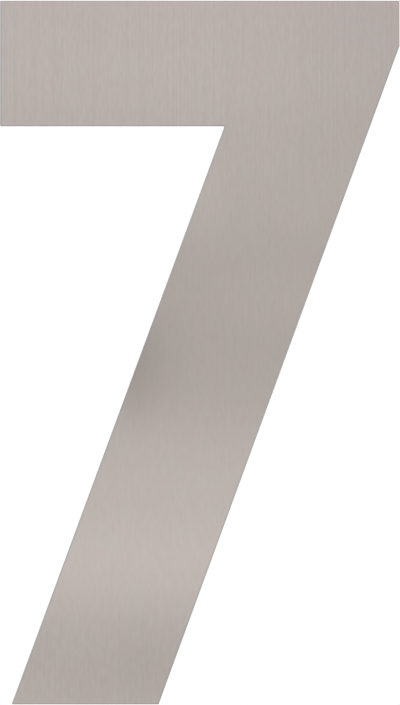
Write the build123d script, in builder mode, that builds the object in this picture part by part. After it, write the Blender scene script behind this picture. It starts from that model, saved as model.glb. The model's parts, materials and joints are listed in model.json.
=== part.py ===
from build123d import *
import os

# House number seven: a flat digit cut from steel plate, held flush on a wall by three studs in its back.
# Sizes are in millimetres. The wall is the plane y = 0, the digit's face looks along -Y and +Z is up.
# The origin is the middle of the digit's height and width, on its back face.

# Outline of the digit
digit_height = 200.0
digit_width = 113.6
bar_height = 35.6
shoulder_height = 12.8  # upright part of the right edge, above the slanted leg
foot_inset = 3.35  # from the bar's left end in to the foot's left corner
foot_width = 41.75  # along the bottom edge
inner_corner_reach = 63.9  # from the bar's left end to the corner where its underside meets the leg
inner_corner_radius = 0.3  # left there by the cutter

# Plate
plate_thickness = 4.0
edge_break = 0.25  # radius on the rims of both faces and on the outer corners

# Tapped blind holes in the back
hole_floor = 1.0  # metal left between the end of a hole and the digit's face
mouth_clearance = 0.3  # by which the countersink at each thread's start is wider than the thread
mouth_angle = 90.0
stud_end_distance = 18.0  # from a stud's axis to the end of the bar or foot

# Studs: set screws with a flat point inside and a hexagon socket at the free end
stud_length = 30.0
thread_radius = 2.0
thread_pitch = 0.7
pitch_line_share = 0.325  # of the pitch, from the crests in to the pitch line
point_chamfer = 0.5
end_chamfer = 0.4
socket_across_flats = 2.0
socket_depth = 2.0

top = digit_height / 2
bottom = -digit_height / 2
left = -digit_width / 2
right = digit_width / 2
shoulder = top - shoulder_height
bar_underside = top - bar_height
foot_left = left + foot_inset
foot_right = foot_left + foot_width

inner_corner = (left + inner_corner_reach, bar_underside)


# The leg's edges run straight up from the foot, the left one to the inner corner and the right one to
# the shoulder.
def edge_place(foot_end, top_end, height):
    share = (height - bottom) / (top_end[1] - bottom)
    return foot_end + share * (top_end[0] - foot_end)


def leg_middle(height):
    left_edge = edge_place(foot_left, inner_corner, height)
    right_edge = edge_place(foot_right, (right, shoulder), height)
    return (left_edge + right_edge) / 2


# Hole and stud meet at the thread's pitch line, and the stud's point stands on the hole's floor.
pitch_line_radius = thread_radius - pitch_line_share * thread_pitch
mouth_radius = thread_radius + mouth_clearance
hole_depth = plate_thickness - hole_floor
stud_free_length = stud_length - hole_depth

# The back of the digit as someone behind it sees it: +X is on the left, +Z is up.
back = Plane(origin=(0, 0, 0), x_dir=(-1, 0, 0), z_dir=(0, 1, 0))
bar_middle = top - bar_height / 2
foot_stud_height = bottom + stud_end_distance
stud_places = [
    (-(left + stud_end_distance), bar_middle),
    (-(right - stud_end_distance), bar_middle),
    (-leg_middle(foot_stud_height), foot_stud_height),
]

os.makedirs("parts", exist_ok=True)

# Digit plate
with BuildPart() as digit_plate:
    with BuildSketch(Plane.XZ) as outline:
        with BuildLine():
            Polyline(
                (left, top),
                (right, top),
                (right, shoulder),
                (foot_right, bottom),
                (foot_left, bottom),
                inner_corner,
                (left, bar_underside),
                close=True,
            )
        make_face()
        fillet(outline.vertices().sort_by_distance(inner_corner)[0], inner_corner_radius)
    extrude(amount=plate_thickness)

    # The rims of both faces and the outer corners are broken alike, but not the arc of the inner corner.
    faces_by_depth = digit_plate.faces().sort_by(Axis.Y)
    rims = faces_by_depth[0].edges() + faces_by_depth[-1].edges()
    upright_corners = digit_plate.edges().filter_by(Axis.Y)
    arc_middle = (inner_corner[0], -plate_thickness / 2, inner_corner[1])
    outer_corners = upright_corners.sort_by_distance(arc_middle)[2:]
    fillet(rims + outer_corners, edge_break)

    with Locations(back):
        with Locations(*stud_places):
            CounterSinkHole(pitch_line_radius, mouth_radius, hole_depth, mouth_angle)

digit_plate.part.label = "digit_plate"
export_step(digit_plate.part, "parts/digit_plate.step")

# Fixing studs
with BuildPart() as fixing_studs:
    with BuildSketch(back):
        with Locations(*stud_places):
            Circle(pitch_line_radius)
    extrude(amount=-hole_depth)

    with BuildSketch(back):
        with Locations(*stud_places):
            Circle(thread_radius)
    extrude(amount=stud_free_length)

    round_edges = fixing_studs.edges().filter_by(GeomType.CIRCLE).group_by(Axis.Y)
    points, free_ends = round_edges[0], round_edges[-1]
    chamfer(points, point_chamfer)
    chamfer(free_ends, end_chamfer)

    with BuildSketch(back.offset(stud_free_length)):
        with Locations(*stud_places):
            RegularPolygon(socket_across_flats / 2, 6, major_radius=False)
    extrude(amount=-socket_depth, mode=Mode.SUBTRACT)

fixing_studs.part.label = "fixing_studs"
export_step(fixing_studs.part, "parts/fixing_studs.step")
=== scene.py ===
import bpy
import json
import math
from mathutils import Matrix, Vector


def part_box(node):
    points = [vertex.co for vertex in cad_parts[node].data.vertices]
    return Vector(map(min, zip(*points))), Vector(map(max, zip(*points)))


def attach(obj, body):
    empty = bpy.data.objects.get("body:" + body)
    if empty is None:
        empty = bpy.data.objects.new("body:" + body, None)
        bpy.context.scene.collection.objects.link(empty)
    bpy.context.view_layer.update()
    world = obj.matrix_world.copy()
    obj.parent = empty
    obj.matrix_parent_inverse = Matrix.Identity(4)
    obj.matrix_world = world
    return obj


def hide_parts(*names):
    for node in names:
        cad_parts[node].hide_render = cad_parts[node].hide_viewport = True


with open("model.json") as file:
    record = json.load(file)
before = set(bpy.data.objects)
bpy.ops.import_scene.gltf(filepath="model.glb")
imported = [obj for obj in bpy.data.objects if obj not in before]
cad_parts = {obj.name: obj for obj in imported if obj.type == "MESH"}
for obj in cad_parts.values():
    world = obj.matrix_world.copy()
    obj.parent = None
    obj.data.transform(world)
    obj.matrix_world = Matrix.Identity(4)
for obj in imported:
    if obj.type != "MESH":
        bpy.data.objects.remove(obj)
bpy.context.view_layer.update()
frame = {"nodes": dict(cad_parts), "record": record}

mm = 0.001
plateLow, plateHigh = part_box("digit_plate")
studsLow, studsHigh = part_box("fixing_studs")
faceY = plateLow.y
backY = plateHigh.y
studAxes = [Vector(m["pos_m"]) for m in frame["record"]["mounts"] if m["kind"] == "pin"]


# Small helpers for node trees

def addNode(tree, kind, **settings):
    node = tree.nodes.new(kind)
    for name, value in settings.items():
        setattr(node, name, value)
    return node


def feed(tree, value, socket):
    # links an output, and types anything else into the socket
    if isinstance(value, bpy.types.NodeSocket):
        tree.links.new(value, socket)
    else:
        socket.default_value = value


def calc(tree, operation, first, second=0.0, third=0.0):
    node = addNode(tree, "ShaderNodeMath", operation=operation)
    for value, socket in zip((first, second, third), node.inputs):
        feed(tree, value, socket)
    return node.outputs[0]


def fade(tree, value, start, end, low=0.0, high=1.0):
    # smooth step from low at start to high at end
    node = addNode(tree, "ShaderNodeMapRange", interpolation_type="SMOOTHSTEP")
    names = ("Value", "From Min", "From Max", "To Min", "To Max")
    for given, name in zip((value, start, end, low, high), names):
        feed(tree, given, node.inputs[name])
    return node.outputs[0]


def blendColour(tree, share, first, second, mode="MIX"):
    # the Mix node's colour sockets are inputs 6 and 7 and output 2
    node = addNode(tree, "ShaderNodeMix", data_type="RGBA", blend_type=mode)
    feed(tree, share, node.inputs[0])
    feed(tree, first, node.inputs[6])
    feed(tree, second, node.inputs[7])
    return node.outputs[2]


def blendValue(tree, share, first, second):
    # its number sockets are inputs 2 and 3 and output 0
    node = addNode(tree, "ShaderNodeMix", data_type="FLOAT")
    feed(tree, share, node.inputs[0])
    feed(tree, first, node.inputs[2])
    feed(tree, second, node.inputs[3])
    return node.outputs[0]


def swingRound(tree, pattern, middle, swing):
    # a value that follows a pattern from 0 to 1, and is middle where the pattern is half
    return calc(tree, "MULTIPLY_ADD", pattern, swing, middle - swing / 2)


def streaks(tree, coords, size, detail, turn=(0, 0, 0), shift=(0, 0, 0)):
    # noise whose spots are size = (x, y, z) metres across, turned and moved as a whole
    mapping = addNode(tree, "ShaderNodeMapping", vector_type="TEXTURE")
    mapping.inputs["Location"].default_value = shift
    mapping.inputs["Rotation"].default_value = turn
    mapping.inputs["Scale"].default_value = size
    tree.links.new(coords, mapping.inputs["Vector"])
    noise = addNode(tree, "ShaderNodeTexNoise", noise_dimensions="3D")
    noise.inputs["Scale"].default_value = 1.0
    noise.inputs["Detail"].default_value = detail
    tree.links.new(mapping.outputs["Vector"], noise.inputs["Vector"])
    return noise.outputs["Fac"]


def addBump(tree, shader, height, look):
    bump = addNode(tree, "ShaderNodeBump")
    bump.inputs["Strength"].default_value = look["bumpStrength"]
    bump.inputs["Distance"].default_value = look["bumpHeight"]
    feed(tree, height, bump.inputs["Height"])
    tree.links.new(bump.outputs["Normal"], shader.inputs["Normal"])


def newMaterial(name):
    material = bpy.data.materials.new(name)
    material.use_nodes = True
    tree = material.node_tree
    tree.nodes.clear()
    shader = addNode(tree, "ShaderNodeBsdfPrincipled")
    output = addNode(tree, "ShaderNodeOutputMaterial")
    tree.links.new(shader.outputs["BSDF"], output.inputs["Surface"])
    return material, tree, shader


# Camera: the photo is trimmed to the digit, so the digit's own edges in it set the framing

photoLook = {
    "width": 400,
    "height": 705,
    "digitLeft": -0.1,    # pixels
    "digitTop": 0.7,
    "digitBottom": 704.3,
    "lens": 300.0,        # mm: long, because the photo shows nothing of the bar's underside
    "sensor": 36.0,       # mm, along the photo's height
}


def makeCamera(look):
    pixel = (plateHigh.z - plateLow.z) / (look["digitBottom"] - look["digitTop"])
    distance = look["lens"] / look["sensor"] * look["height"] * pixel
    data = bpy.data.cameras.new("photoCamera")
    data.lens = look["lens"]
    data.sensor_width = look["sensor"]
    camera = bpy.data.objects.new("photoCamera", data)
    bpy.context.scene.collection.objects.link(camera)
    camera.location = (
        plateLow.x + (look["width"] / 2 - look["digitLeft"]) * pixel,
        faceY - distance,
        plateHigh.z - (look["height"] / 2 - look["digitTop"]) * pixel,
    )
    camera.rotation_euler = (math.radians(90), 0, 0)
    bpy.context.scene.camera = camera
    bpy.context.scene.view_settings.view_transform = "Standard"
    print("camera", round(distance, 3), "m in front of the digit")


makeCamera(photoLook)


# Studio: a white surround, a pale floor below the digit, and soft boxes in front and behind

studioLook = {
    "fill": 0.75,              # how strongly the surround lights matt surfaces
    "floorDrop": 0.1,          # from the digit's foot down to the floor
    "floorRadius": 0.44,
    "floorSides": 96,
    "floorFadeStart": 0.24,    # from here out the floor fades into the white surround
    "floorColour": (0.93, 0.93, 0.92, 1),
    "floorRoughness": 0.9,
    # those in front show in the face as its light and dark zones
    # name: (place, aimed at, width, height, watts, colour)
    "softBoxes": {
        "topBox": ((0.0, -0.6, 0.176), (0, 0, 0.059), 1.4, 0.155, 0.156, (0.93, 0.9, 1.0)),
        "middleBox": ((0.0, -0.6, 0.077), (0, 0, 0.026), 1.4, 0.061, 0.0345, (0.96, 1.0, 0.97)),
        "lowBox": ((0.0, -0.6, -0.045), (0, 0, -0.015), 1.4, 0.03, 0.0343, (1.0, 1.0, 1.0)),
        "bandBox": ((0.0, -0.6, -0.08), (0, 0, -0.027), 1.4, 0.03, 0.0545, (1.0, 1.0, 1.0)),
        "bandEdgeBox": ((0.0, -0.6, -0.1), (0, 0, -0.033), 1.4, 0.03, 0.0079, (1.0, 1.0, 1.0)),
        "footBox": ((0.0, -0.6, -0.167), (0, 0, -0.056), 1.4, 0.03, 0.0773, (1.0, 1.0, 1.0)),
        "backBox": ((-0.5, 0.9, 0.7), (0, 0, 0), 0.8, 0.5, 1.6, (1.0, 0.98, 0.95)),
    },
}


def makeStudio(look):
    world = bpy.data.worlds.new("surround")
    bpy.context.scene.world = world
    world.use_nodes = True
    tree = world.node_tree
    tree.nodes.clear()
    path = addNode(tree, "ShaderNodeLightPath")
    seen = calc(tree, "MAXIMUM", path.outputs["Is Camera Ray"], path.outputs["Is Glossy Ray"])
    seen = calc(tree, "MAXIMUM", seen, path.outputs["Is Transmission Ray"])
    surround = addNode(tree, "ShaderNodeBackground")
    surround.inputs["Color"].default_value = (1, 1, 1, 1)
    feed(tree, blendValue(tree, seen, look["fill"], 1.0), surround.inputs["Strength"])
    output = addNode(tree, "ShaderNodeOutputWorld")
    tree.links.new(surround.outputs["Background"], output.inputs["Surface"])

    for name, (place, aim, width, height, watts, colour) in look["softBoxes"].items():
        light = bpy.data.lights.new(name, "AREA")
        light.shape = "RECTANGLE"
        light.size, light.size_y = width, height
        light.energy = watts
        light.color = colour
        box = bpy.data.objects.new(name, light)
        bpy.context.scene.collection.objects.link(box)
        box.location = place
        box.rotation_euler = (Vector(aim) - Vector(place)).to_track_quat("-Z", "Y").to_euler()
        box.visible_camera = False

    floorZ = plateLow.z - look["floorDrop"]
    bpy.ops.mesh.primitive_circle_add(
        vertices=look["floorSides"], radius=look["floorRadius"], fill_type="NGON",
        location=(0, 0, floorZ))
    floor = bpy.context.object
    floor.name = "paleFloor"
    material, tree, shader = newMaterial("paleFloor")
    shader.inputs["Base Color"].default_value = look["floorColour"]
    shader.inputs["Roughness"].default_value = look["floorRoughness"]
    coords = addNode(tree, "ShaderNodeTexCoord")
    fromMiddle = addNode(tree, "ShaderNodeVectorMath", operation="LENGTH")
    tree.links.new(coords.outputs["Object"], fromMiddle.inputs[0])
    spot = fromMiddle.outputs["Value"]
    solid = fade(tree, spot, look["floorFadeStart"], look["floorRadius"], 1.0, 0.0)
    feed(tree, solid, shader.inputs["Alpha"])
    floor.data.materials.append(material)


makeStudio(studioLook)
print("studio ready")


# Brushed plate: upright grain on the face, cut rim, mill finish behind, turned countersinks

plateLook = {
    # the digit's outline, for how far a spot of the face is from its edge
    "barHeight": 35.6 * mm,
    "shoulderHeight": 12.8 * mm,
    "footInset": 3.35 * mm,
    "footWidth": 41.75 * mm,
    "innerCornerReach": 63.9 * mm,
    # face: three patterns of grain and their shares in the mix
    "metal": (0.396, 0.357, 0.333, 1),
    "paleGrain": (0.428, 0.385, 0.36, 1),
    "shortGrain": {"size": (0.8 * mm, 5 * mm, 2.8 * mm), "detail": 1.0, "shift": (7.3, 0, 2.1)},
    "shortShare": 0.62,
    "fineGrain": {"size": (0.075 * mm, 5 * mm, 11 * mm), "detail": 2.0},
    "fineShare": 0.42,
    "longGrain": {"size": (0.42 * mm, 5 * mm, 90 * mm), "detail": 1.0, "shift": (3.1, 0, 5.7)},
    "longShare": 0.46,
    "legLongShare": 0.2,       # the long lines are fainter in the leg
    "grainSwing": 0.34,        # of the mixed grain, from its darkest to its palest, in the bar
    # further down it changes: from this height, to this height, to this swing
    "swingSteps": ((60 * mm, 35 * mm, 0.44), (-15 * mm, -32 * mm, 0.54), (-68 * mm, -80 * mm, 0.29)),
    "faceRoughness": 0.22,
    "faceRoughnessSwing": 0.05,
    "anisotropy": 1.0,
    "highlightTurn": 0.25,     # highlights spread across the grain
    # slow drift of the metal's tint, from cooler to warmer, in upright patches
    "drift": {"size": (4.5 * mm, 9 * mm, 7 * mm), "detail": 1.0, "shift": (0.4, 0, 8.2)},
    "driftRange": (0.32, 0.68),    # of the pattern's values, from one tint to the other
    "coolTint": (0.993, 1.004, 0.998, 1),
    "warmTint": (1.006, 0.997, 1.0, 1),
    # painted reflections, as soft ovals of painted shade or painted highlight, name: (x, z, half width,
    # half height, how much duller, or paler below 0)
    "paintedReflectionPatches": {
        "barEnd": (66 * mm, 84 * mm, 66 * mm, 60 * mm, 0.085),
        "legTop": (1 * mm, 47 * mm, 11 * mm, 24 * mm, -0.036),
        "legSide": (-19.5 * mm, -3.5 * mm, 12 * mm, 23.5 * mm, 0.125),
        "legMiddle": (-13 * mm, -1 * mm, 17 * mm, 23.5 * mm, 0.07),
        "legRight": (29 * mm, 15 * mm, 40 * mm, 14.5 * mm, -0.046),
        "footRight": (-16 * mm, -88 * mm, 14 * mm, 17 * mm, 0.038),
        "footLeft": (-50 * mm, -96 * mm, 12 * mm, 10 * mm, -0.035),
    },
    # painted shade: the face's edge, painted a little duller and greyer for the dark reflection its
    # rounded edge shows
    "paintedEdgeShade": (0.925, 0.955, 0.965, 1),
    "edgeStart": 0.72 * mm,         # the dull strip ends this far from the edge
    "edgeFull": 0.4 * mm,           # and is at its dullest this near to it
    "levelEdgeSpare": 0.45 * mm,    # by which it is narrower along level edges
    # the painted reflection's cooler tint, in a wider strip along the edge
    "paintedEdgeCoolTint": (0.998, 1.01, 1.026, 1),
    "coolEdgeStart": 1.6 * mm,
    # rim, cut across the thickness: a flat's finish gives way to the rim's between these depths
    "flatFull": 0.06 * mm,
    "rimFull": 0.18 * mm,
    "rimMetal": (0.49, 0.465, 0.44, 1),
    "rimDark": (0.4, 0.375, 0.35, 1),
    "rimRoughness": 0.42,
    "cutLines": {"size": (0.16 * mm, 9 * mm, 0.16 * mm), "detail": 2.0},
    "cutWaves": {"size": (0.7 * mm, 2.2 * mm, 0.7 * mm), "detail": 1.0, "shift": (1.7, 0.6, 4.4)},
    "waveShare": 0.4,          # the rest is lines
    "cutRange": (0.35, 0.62),
    # back
    "backMetal": (0.4, 0.38, 0.36, 1),
    "backPale": (0.46, 0.44, 0.42, 1),
    "backRoughness": 0.4,
    "backRoughnessSwing": 0.14,
    "backMottle": {"size": (1.6 * mm, 2 * mm, 5 * mm), "detail": 4.0},
    "backCloud": {"size": (22 * mm, 20 * mm, 34 * mm), "detail": 3.0, "shift": (5.2, 0, 1.3)},
    "cloudShare": 0.5,         # the rest is mottle
    "backRange": (0.34, 0.66),
    "scratch": {"size": (0.07 * mm, 4 * mm, 16 * mm), "detail": 1.0},
    "scratches": ((1, 0.63), (31, 0.69), (-44, 0.7), (76, 0.705)),   # degrees from upright, and how rare
    "scratchSoftness": 0.06,
    "scratchShare": 0.32,      # of the bright turned metal's colour
    "scratchDepth": 0.6,       # against the mottle's height
    # countersinks and holes
    "turnedMetal": (0.64, 0.615, 0.59, 1),
    "turnedRoughness": 0.24,
    "turnedRadius": 2.34 * mm,  # just outside a countersink's mouth
    "turnedFrom": 0.24 * mm,   # behind the face, so that it never shows there
    "toolMarks": 0.07 * mm,    # from one ring to the next
    "ringHeight": 0.25,
    # relief of all of it
    "bumpStrength": 0.25,
    "bumpHeight": 0.02 * mm,
}


def edgeDistance(tree, across, up, look):
    # how far inside the digit's outline a spot is: the larger of its reach into the bar and into the leg
    top, bottom, left, right = plateHigh.z, plateLow.z, plateLow.x, plateHigh.x
    shoulder = (right, top - look["shoulderHeight"])
    corner = (left + look["innerCornerReach"], top - look["barHeight"])
    footLeft = (left + look["footInset"], bottom)
    footRight = (footLeft[0] + look["footWidth"], bottom)

    def beside(start, end):
        # distance to the right of a line, seen along it
        length = math.dist(start, end)
        run, rise = (end[0] - start[0]) / length, (end[1] - start[1]) / length
        offset = start[1] * run - start[0] * rise
        if start[1] == end[1]:
            offset += look["levelEdgeSpare"]
        return calc(tree, "MULTIPLY_ADD", across, rise, calc(tree, "MULTIPLY_ADD", up, -run, offset))

    def nearest(*lines):
        result = beside(*lines[0])
        for line in lines[1:]:
            result = calc(tree, "MINIMUM", result, beside(*line))
        return result

    topLine = ((left, top), (right, top))
    legLine = (shoulder, footRight)
    barEnd = (left, corner[1])
    bar = nearest(topLine, ((right, top), shoulder), legLine, (corner, barEnd), (barEnd, (left, top)))
    leg = nearest(topLine, legLine, (footRight, footLeft), (footLeft, corner))
    return calc(tree, "MAXIMUM", bar, leg)


def reach(tree, sideways, upwards):
    # how long the line is that goes this far sideways and upwards
    squares = calc(tree, "MULTIPLY", upwards, upwards)
    squares = calc(tree, "MULTIPLY_ADD", sideways, sideways, squares)
    return calc(tree, "SQRT", squares)


def axisDistance(tree, across, up):
    # how far a spot is from the nearest stud's axis
    nearest = None
    for axis in studAxes:
        sideways = calc(tree, "SUBTRACT", across, axis.x)
        upwards = calc(tree, "SUBTRACT", up, axis.z)
        length = reach(tree, sideways, upwards)
        nearest = length if nearest is None else calc(tree, "MINIMUM", nearest, length)
    return nearest


def patchShade(tree, across, up, patches):
    # 1 outside the soft ovals, and in each one's middle less than that by its depth
    shade = None
    for x, z, halfWidth, halfHeight, depth in patches.values():
        sideways = calc(tree, "DIVIDE", calc(tree, "SUBTRACT", across, x), halfWidth)
        upwards = calc(tree, "DIVIDE", calc(tree, "SUBTRACT", up, z), halfHeight)
        one = fade(tree, reach(tree, sideways, upwards), 0.0, 1.0, 1 - depth, 1.0)
        shade = one if shade is None else calc(tree, "MULTIPLY", shade, one)
    return shade


def plateMaterial(look):
    material, tree, shader = newMaterial("brushedStainless")
    coords = addNode(tree, "ShaderNodeTexCoord").outputs["Object"]
    place = addNode(tree, "ShaderNodeSeparateXYZ")
    tree.links.new(coords, place.inputs[0])
    across, depth, up = place.outputs
    onFace = fade(tree, depth, faceY + look["rimFull"], faceY + look["flatFull"])
    onBack = fade(tree, depth, backY - look["rimFull"], backY - look["flatFull"])
    fromAxis = axisDistance(tree, across, up)
    inHole = calc(tree, "MULTIPLY", calc(tree, "LESS_THAN", fromAxis, look["turnedRadius"]),
                  calc(tree, "GREATER_THAN", depth, faceY + look["turnedFrom"]))

    # face: short grain, finer and longer lines, then slow drifts of tint, then painted shade and painted
    # highlights in soft ovals, then the edge's painted shade
    short = streaks(tree, coords, **look["shortGrain"])
    fine = streaks(tree, coords, **look["fineGrain"])
    long = streaks(tree, coords, **look["longGrain"])
    grain = calc(tree, "MULTIPLY", short, look["shortShare"])
    grain = calc(tree, "MULTIPLY_ADD", fine, look["fineShare"], grain)
    legStart, legFull = look["swingSteps"][0][:2]    # the long lines fade over the first step
    longShare = fade(tree, up, legFull, legStart, look["legLongShare"], look["longShare"])
    grain = calc(tree, "MULTIPLY_ADD", long, longShare, grain)
    middle = calc(tree, "MULTIPLY_ADD", longShare, 0.5, (look["shortShare"] + look["fineShare"]) / 2)
    swing = look["grainSwing"]
    for start, full, below in look["swingSteps"]:
        swing = fade(tree, up, full, start, below, swing)
    paleness = fade(tree, grain, calc(tree, "SUBTRACT", middle, swing), calc(tree, "ADD", middle, swing))
    faceColour = blendColour(tree, paleness, look["metal"], look["paleGrain"])
    drift = fade(tree, streaks(tree, coords, **look["drift"]), *look["driftRange"])
    tint = blendColour(tree, drift, look["coolTint"], look["warmTint"])
    faceColour = blendColour(tree, 1.0, faceColour, tint, "MULTIPLY")
    # painted reflections: soft ovals painted duller or paler, standing in for the light and dark the
    # face reflects
    shade = patchShade(tree, across, up, look["paintedReflectionPatches"])
    shades = addNode(tree, "ShaderNodeCombineColor")
    for socket in list(shades.inputs)[:3]:
        tree.links.new(shade, socket)
    faceColour = blendColour(tree, 1.0, faceColour, shades.outputs[0], "MULTIPLY")
    # painted shade along the face's edge: duller, greyer and a little cooler, for the dark reflection in
    # its rounded edge
    inside = edgeDistance(tree, across, up, look)
    nearEdge = fade(tree, inside, look["edgeFull"], look["edgeStart"], 1.0, 0.0)
    faceColour = blendColour(tree, nearEdge, faceColour, look["paintedEdgeShade"], "MULTIPLY")
    nearEdge = fade(tree, inside, look["edgeFull"], look["coolEdgeStart"], 1.0, 0.0)
    faceColour = blendColour(tree, nearEdge, faceColour, look["paintedEdgeCoolTint"], "MULTIPLY")
    faceRoughness = swingRound(tree, fine, look["faceRoughness"], look["faceRoughnessSwing"])

    # rim: fine lines left by the cutter, and the slower waves under them
    cut = streaks(tree, coords, **look["cutLines"])
    waves = streaks(tree, coords, **look["cutWaves"])
    cutTone = blendValue(tree, look["waveShare"], cut, waves)
    rimTone = fade(tree, cutTone, *look["cutRange"])
    rimColour = blendColour(tree, rimTone, look["rimDark"], look["rimMetal"])

    # back: a dull cloudy mill finish with a few scratches
    mottle = streaks(tree, coords, **look["backMottle"])
    cloud = streaks(tree, coords, **look["backCloud"])
    backTone = fade(tree, blendValue(tree, look["cloudShare"], mottle, cloud), *look["backRange"])
    backColour = blendColour(tree, backTone, look["backMetal"], look["backPale"])
    scratches = None
    for degrees, above in look["scratches"]:
        turn = (0, math.radians(degrees), 0)
        line = streaks(tree, coords, turn=turn, shift=(above, 0, 0), **look["scratch"])
        line = fade(tree, line, above, above + look["scratchSoftness"])
        scratches = line if scratches is None else calc(tree, "MAXIMUM", scratches, line)
    scratchTone = calc(tree, "MULTIPLY", scratches, look["scratchShare"])
    backColour = blendColour(tree, scratchTone, backColour, look["turnedMetal"])
    backRoughness = swingRound(tree, cloud, look["backRoughness"], look["backRoughnessSwing"])

    # countersinks and holes: bright, with the tool's rings
    rings = calc(tree, "SINE", calc(tree, "MULTIPLY", fromAxis, math.tau / look["toolMarks"]))

    colour = blendColour(tree, onFace, rimColour, faceColour)
    colour = blendColour(tree, onBack, colour, backColour)
    colour = blendColour(tree, inHole, colour, look["turnedMetal"])
    roughness = blendValue(tree, onFace, look["rimRoughness"], faceRoughness)
    roughness = blendValue(tree, onBack, roughness, backRoughness)
    roughness = blendValue(tree, inHole, roughness, look["turnedRoughness"])
    feed(tree, colour, shader.inputs["Base Color"])
    feed(tree, roughness, shader.inputs["Roughness"])
    shader.inputs["Metallic"].default_value = 1.0
    shader.inputs["Anisotropic"].default_value = look["anisotropy"]
    shader.inputs["Anisotropic Rotation"].default_value = look["highlightTurn"]

    # the metal's direction is upright on both flats, and across the thickness on the rim
    flat = calc(tree, "MAXIMUM", onFace, onBack)
    along = addNode(tree, "ShaderNodeCombineXYZ")
    feed(tree, calc(tree, "SUBTRACT", 1.0, flat), along.inputs["Y"])
    feed(tree, flat, along.inputs["Z"])
    tree.links.new(along.outputs["Vector"], shader.inputs["Tangent"])

    backHeight = calc(tree, "MULTIPLY_ADD", scratches, -look["scratchDepth"], mottle)
    height = blendValue(tree, onFace, cutTone, grain)
    height = blendValue(tree, onBack, height, backHeight)
    height = blendValue(tree, inHole, height, calc(tree, "MULTIPLY_ADD", rings, look["ringHeight"], 0.5))
    addBump(tree, shader, height, look)
    return material


plate = frame["nodes"]["digit_plate"]
plate.data.materials[0] = plateMaterial(plateLook)
print("plate finished")


# Studs: set screws with a rolled thread, a flat point in the plate and a hexagon socket at the free end

studLook = {
    "radius": 2.0 * mm,           # over the crests
    "pitch": 0.7 * mm,
    "threadDepth": 0.6134,        # of the pitch
    "crestShare": 0.125,          # of the pitch, the flat on a crest
    "flankShare": 0.3125,         # of the pitch, each flank
    "pointRadius": 1.27 * mm,
    "endRadius": 1.55 * mm,       # below the thread's root, so that the thread runs out on the chamfer
    "mouthRadius": 1.24 * mm,     # of the lead into the socket
    "mouthDepth": 0.12 * mm,
    "socketWidth": 2.0 * mm,      # across flats
    "socketDepth": 2.0 * mm,
    "socketCone": 0.5 * mm,       # left by the drill below the hexagon
    "around": 36,                 # faces round a stud
    "stepsPerPitch": 8,           # rows of faces along one pitch
    "mergeWithin": 0.002 * mm,    # joins the caps to the thread
    "sharpAbove": 20.0,           # degrees between two faces whose edge stays crisp
    "seed": 7,                    # for how far each stud was turned when it was screwed in
    # the thread's colour runs from the metal on the crests to painted shade in the roots; the stains
    # take the same dark colour
    "crestMetal": (0.54, 0.525, 0.5, 1),
    "rootShadeAndStain": (0.27, 0.26, 0.245, 1),
    "stains": {"size": (1.6 * mm, 4 * mm, 1.6 * mm), "detail": 3.0},
    "stainRange": (0.45, 0.75),
    "stainShare": 0.35,
    "scuffs": {"size": (0.35 * mm, 0.12 * mm, 0.35 * mm), "detail": 3.0},
    "roughness": 0.27,
    "roughnessSwing": 0.16,
    "bumpStrength": 0.2,
    "bumpHeight": 0.01 * mm,
}


def newGeometryTree(name, sizes):
    # sizes become named inputs, whole numbers as integers
    tree = bpy.data.node_groups.new(name, "GeometryNodeTree")
    tree.interface.new_socket("Geometry", in_out="INPUT", socket_type="NodeSocketGeometry")
    kinds = {int: "NodeSocketInt", float: "NodeSocketFloat"}
    for label, value in sizes.items():
        kind = kinds.get(type(value), "NodeSocketMaterial")
        tree.interface.new_socket(label, in_out="INPUT", socket_type=kind).default_value = value
    tree.interface.new_socket("Geometry", in_out="OUTPUT", socket_type="NodeSocketGeometry")
    return tree, addNode(tree, "NodeGroupInput").outputs, addNode(tree, "NodeGroupOutput").inputs[0]


def strip(tree, columns, rows, width, height):
    # a flat grid to be bent: gives its mesh, and how far along each point is in both directions
    grid = addNode(tree, "GeometryNodeMeshGrid")
    names = ("Size X", "Size Y", "Vertices X", "Vertices Y")
    for value, name in zip((width, height, columns, rows), names):
        feed(tree, value, grid.inputs[name])
    place = addNode(tree, "ShaderNodeSeparateXYZ")
    tree.links.new(addNode(tree, "GeometryNodeInputPosition").outputs[0], place.inputs[0])
    across = calc(tree, "ADD", place.outputs["X"], calc(tree, "MULTIPLY", width, 0.5))
    along = calc(tree, "ADD", place.outputs["Y"], calc(tree, "MULTIPLY", height, 0.5))
    return grid.outputs["Mesh"], across, along


def bendRound(tree, mesh, share, radius, height):
    # share of a turn round the Y axis, from Z towards X
    angle = calc(tree, "MULTIPLY", share, math.tau)
    spot = addNode(tree, "ShaderNodeCombineXYZ")
    feed(tree, calc(tree, "MULTIPLY", radius, calc(tree, "SINE", angle)), spot.inputs["X"])
    feed(tree, height, spot.inputs["Y"])
    feed(tree, calc(tree, "MULTIPLY", radius, calc(tree, "COSINE", angle)), spot.inputs["Z"])
    bend = addNode(tree, "GeometryNodeSetPosition")
    tree.links.new(mesh, bend.inputs["Geometry"])
    tree.links.new(spot.outputs["Vector"], bend.inputs["Position"])
    return bend.outputs["Geometry"]


def pick(tree, index, values):
    # one value for each ring of a cap, the index half a step up so that it never rounds down
    switch = addNode(tree, "GeometryNodeIndexSwitch", data_type="FLOAT")
    while len(switch.index_switch_items) < len(values):
        switch.index_switch_items.new()
    feed(tree, calc(tree, "ADD", index, 0.5), switch.inputs["Index"])
    for value, socket in zip(values, list(switch.inputs)[1:]):
        feed(tree, value, socket)
    return switch.outputs[0]


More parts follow.
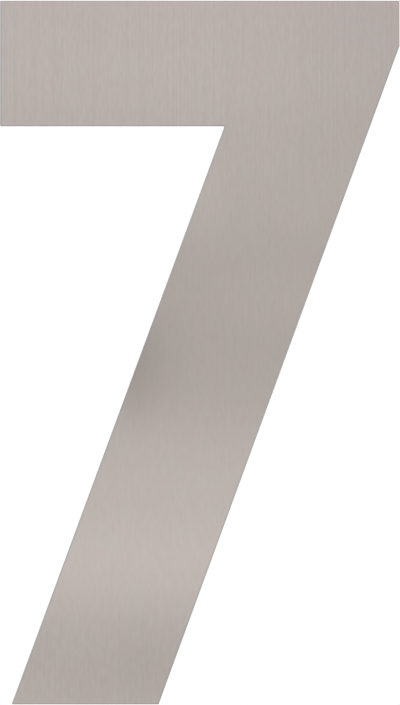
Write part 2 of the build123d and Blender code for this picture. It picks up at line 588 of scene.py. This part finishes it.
def studTree(look, length, material):
    tree, given, output = newGeometryTree("threadedStud", {
        "Length": length,
        "Radius": look["radius"],
        "Pitch": look["pitch"],
        "Thread Depth": look["threadDepth"],
        "Crest Share": look["crestShare"],
        "Flank Share": look["flankShare"],
        "Point Radius": look["pointRadius"],
        "End Radius": look["endRadius"],
        "Mouth Radius": look["mouthRadius"],
        "Mouth Depth": look["mouthDepth"],
        "Socket Width": look["socketWidth"],
        "Socket Depth": look["socketDepth"],
        "Socket Cone": look["socketCone"],
        "Around": look["around"],
        "Steps Per Pitch": look["stepsPerPitch"],
        "Merge Within": look["mergeWithin"],
        "Sharp Above": math.radians(look["sharpAbove"]),
        "Seed": look["seed"],
        "Material": material,
    })
    columns = calc(tree, "ADD", given["Around"], 1)

    # thread: a grid whose rows run round the stud and climb one pitch a turn, cut off at both ends
    pitches = calc(tree, "DIVIDE", given["Length"], given["Pitch"])
    turns = calc(tree, "ADD", calc(tree, "CEIL", pitches), 1)
    rows = calc(tree, "ADD", calc(tree, "MULTIPLY", turns, given["Steps Per Pitch"]), 1)
    mesh, across, along = strip(tree, columns, rows, 1.0, turns)
    climb = calc(tree, "SUBTRACT", calc(tree, "ADD", along, across), 1)
    climb = calc(tree, "MULTIPLY", climb, given["Pitch"])
    height = calc(tree, "MINIMUM", calc(tree, "MAXIMUM", climb, 0), given["Length"])
    phase = calc(tree, "FRACT", along)
    down = calc(tree, "SUBTRACT", phase, given["Crest Share"])
    down = calc(tree, "DIVIDE", down, given["Flank Share"])
    up = calc(tree, "DIVIDE", calc(tree, "SUBTRACT", 1, phase), given["Flank Share"])
    drop = calc(tree, "MINIMUM", calc(tree, "MINIMUM", down, up), 1)
    drop = calc(tree, "MULTIPLY", calc(tree, "MAXIMUM", drop, 0), given["Thread Depth"])
    radius = calc(tree, "SUBTRACT", given["Radius"], calc(tree, "MULTIPLY", drop, given["Pitch"]))
    toEnd = calc(tree, "SUBTRACT", given["Length"], height)
    radius = calc(tree, "MINIMUM", radius, calc(tree, "ADD", given["Point Radius"], height))
    radius = calc(tree, "MINIMUM", radius, calc(tree, "ADD", given["End Radius"], toEnd))
    thread = bendRound(tree, mesh, across, radius, height)

    # point: a flat disc
    mesh, across, along = strip(tree, columns, 2, 1.0, 1.0)
    point = bendRound(tree, mesh, across, calc(tree, "MULTIPLY", along, given["Point Radius"]), 0.0)

    # free end: a flat ring, the lead into the hexagon, its walls, and the drill's cone
    side = 1 / 6    # of a turn
    rings = 6
    mesh, across, along = strip(tree, columns, rings, 1.0, rings - 1.0)
    fromCorner = calc(tree, "FLOORED_MODULO", calc(tree, "ADD", across, side / 2), side)
    angle = calc(tree, "MULTIPLY", calc(tree, "SUBTRACT", fromCorner, side / 2), math.tau)
    half = calc(tree, "MULTIPLY", given["Socket Width"], 0.5)
    hexagon = calc(tree, "DIVIDE", half, calc(tree, "COSINE", angle))
    end = given["Length"]
    lead = calc(tree, "SUBTRACT", end, given["Mouth Depth"])
    floor = calc(tree, "SUBTRACT", end, given["Socket Depth"])
    cone = calc(tree, "SUBTRACT", floor, given["Socket Cone"])
    radius = pick(tree, along, (given["End Radius"], given["Mouth Radius"], hexagon, hexagon, half, 0.0))
    height = pick(tree, along, (end, end, lead, floor, floor, cone))
    freeEnd = bendRound(tree, mesh, across, radius, height)

    join = addNode(tree, "GeometryNodeJoinGeometry")
    for part in (thread, point, freeEnd):
        tree.links.new(part, join.inputs[0])
    merge = addNode(tree, "GeometryNodeMergeByDistance")
    tree.links.new(given["Merge Within"], merge.inputs["Distance"])
    tree.links.new(join.outputs[0], merge.inputs["Geometry"])

    # how far each point is from the stud's axis is kept for the material, which paints shade into the
    # thread's roots by it
    flatten = addNode(tree, "ShaderNodeVectorMath", operation="MULTIPLY")
    tree.links.new(addNode(tree, "GeometryNodeInputPosition").outputs[0], flatten.inputs[0])
    flatten.inputs[1].default_value = (1, 0, 1)
    fromAxis = addNode(tree, "ShaderNodeVectorMath", operation="LENGTH")
    tree.links.new(flatten.outputs["Vector"], fromAxis.inputs[0])
    keep = addNode(tree, "GeometryNodeStoreNamedAttribute", data_type="FLOAT", domain="POINT")
    keep.inputs["Name"].default_value = "fromAxis"
    tree.links.new(merge.outputs["Geometry"], keep.inputs["Geometry"])
    tree.links.new(fromAxis.outputs["Value"], keep.inputs["Value"])

    smooth = addNode(tree, "GeometryNodeSetShadeSmooth", domain="FACE")
    tree.links.new(keep.outputs["Geometry"], smooth.inputs["Geometry"])
    edge = addNode(tree, "GeometryNodeInputMeshEdgeAngle")
    crisp = addNode(tree, "GeometryNodeSetShadeSmooth", domain="EDGE")
    crisp.inputs["Shade Smooth"].default_value = False
    tree.links.new(smooth.outputs["Geometry"], crisp.inputs["Geometry"])
    sharp = calc(tree, "GREATER_THAN", edge.outputs["Unsigned Angle"], given["Sharp Above"])
    tree.links.new(sharp, crisp.inputs["Selection"])

    # one stud on each axis, each turned by its own amount
    turn = addNode(tree, "FunctionNodeRandomValue", data_type="FLOAT_VECTOR")
    turn.inputs["Min"].default_value = (0, 0, 0)
    turn.inputs["Max"].default_value = (0, math.tau, 0)
    tree.links.new(given["Seed"], turn.inputs["Seed"])
    instances = addNode(tree, "GeometryNodeInstanceOnPoints")
    tree.links.new(given["Geometry"], instances.inputs["Points"])
    tree.links.new(crisp.outputs["Geometry"], instances.inputs["Instance"])
    tree.links.new(turn.outputs["Value"], instances.inputs["Rotation"])
    realize = addNode(tree, "GeometryNodeRealizeInstances")
    tree.links.new(instances.outputs["Instances"], realize.inputs["Geometry"])
    finish = addNode(tree, "GeometryNodeSetMaterial")
    tree.links.new(realize.outputs["Geometry"], finish.inputs["Geometry"])
    tree.links.new(given["Material"], finish.inputs["Material"])
    tree.links.new(finish.outputs["Geometry"], output)
    return tree


def applyNodes(piece, tree, settings):
    # runs a geometry tree on a piece and keeps the result as a plain mesh
    modifier = piece.modifiers.new(tree.name, "NODES")
    modifier.node_group = tree
    for socket in tree.interface.items_tree:
        if socket.in_out == "INPUT" and socket.name in settings:
            modifier[socket.identifier] = settings[socket.name]
    graph = bpy.context.evaluated_depsgraph_get()
    mesh = bpy.data.meshes.new_from_object(piece.evaluated_get(graph), depsgraph=graph)
    piece.modifiers.clear()
    piece.data = mesh


def studMaterial(look):
    material, tree, shader = newMaterial("rolledStainless")
    fromAxis = addNode(tree, "ShaderNodeAttribute", attribute_name="fromAxis").outputs["Fac"]
    root = look["radius"] - look["threadDepth"] * look["pitch"]
    height = fade(tree, fromAxis, root, look["radius"])
    coords = addNode(tree, "ShaderNodeTexCoord").outputs["Object"]
    # painted shade: darker toward the thread's roots, where shade falls between the flanks
    colour = blendColour(tree, height, look["rootShadeAndStain"], look["crestMetal"])
    stains = streaks(tree, coords, **look["stains"])
    stained = fade(tree, stains, *look["stainRange"], 0.0, look["stainShare"])
    colour = blendColour(tree, stained, colour, look["rootShadeAndStain"])
    feed(tree, colour, shader.inputs["Base Color"])
    shader.inputs["Metallic"].default_value = 1.0
    scuffs = streaks(tree, coords, **look["scuffs"])
    roughness = swingRound(tree, scuffs, look["roughness"], look["roughnessSwing"])
    feed(tree, roughness, shader.inputs["Roughness"])
    addBump(tree, shader, scuffs, look)
    return material


def makeStuds(look):
    axes = bpy.data.meshes.new("threadedStuds")
    axes.from_pydata([(spot.x, studsLow.y, spot.z) for spot in studAxes], [], [])
    studs = bpy.data.objects.new("threadedStuds", axes)
    bpy.context.scene.collection.objects.link(studs)
    length = studsHigh.y - studsLow.y
    material = studMaterial(look)
    applyNodes(studs, studTree(look, length, material), {"Length": length, "Seed": look["seed"]})
    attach(studs, "root")
    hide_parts("fixing_studs")
    print("studs", len(studs.data.polygons), "faces")


makeStuds(studLook)
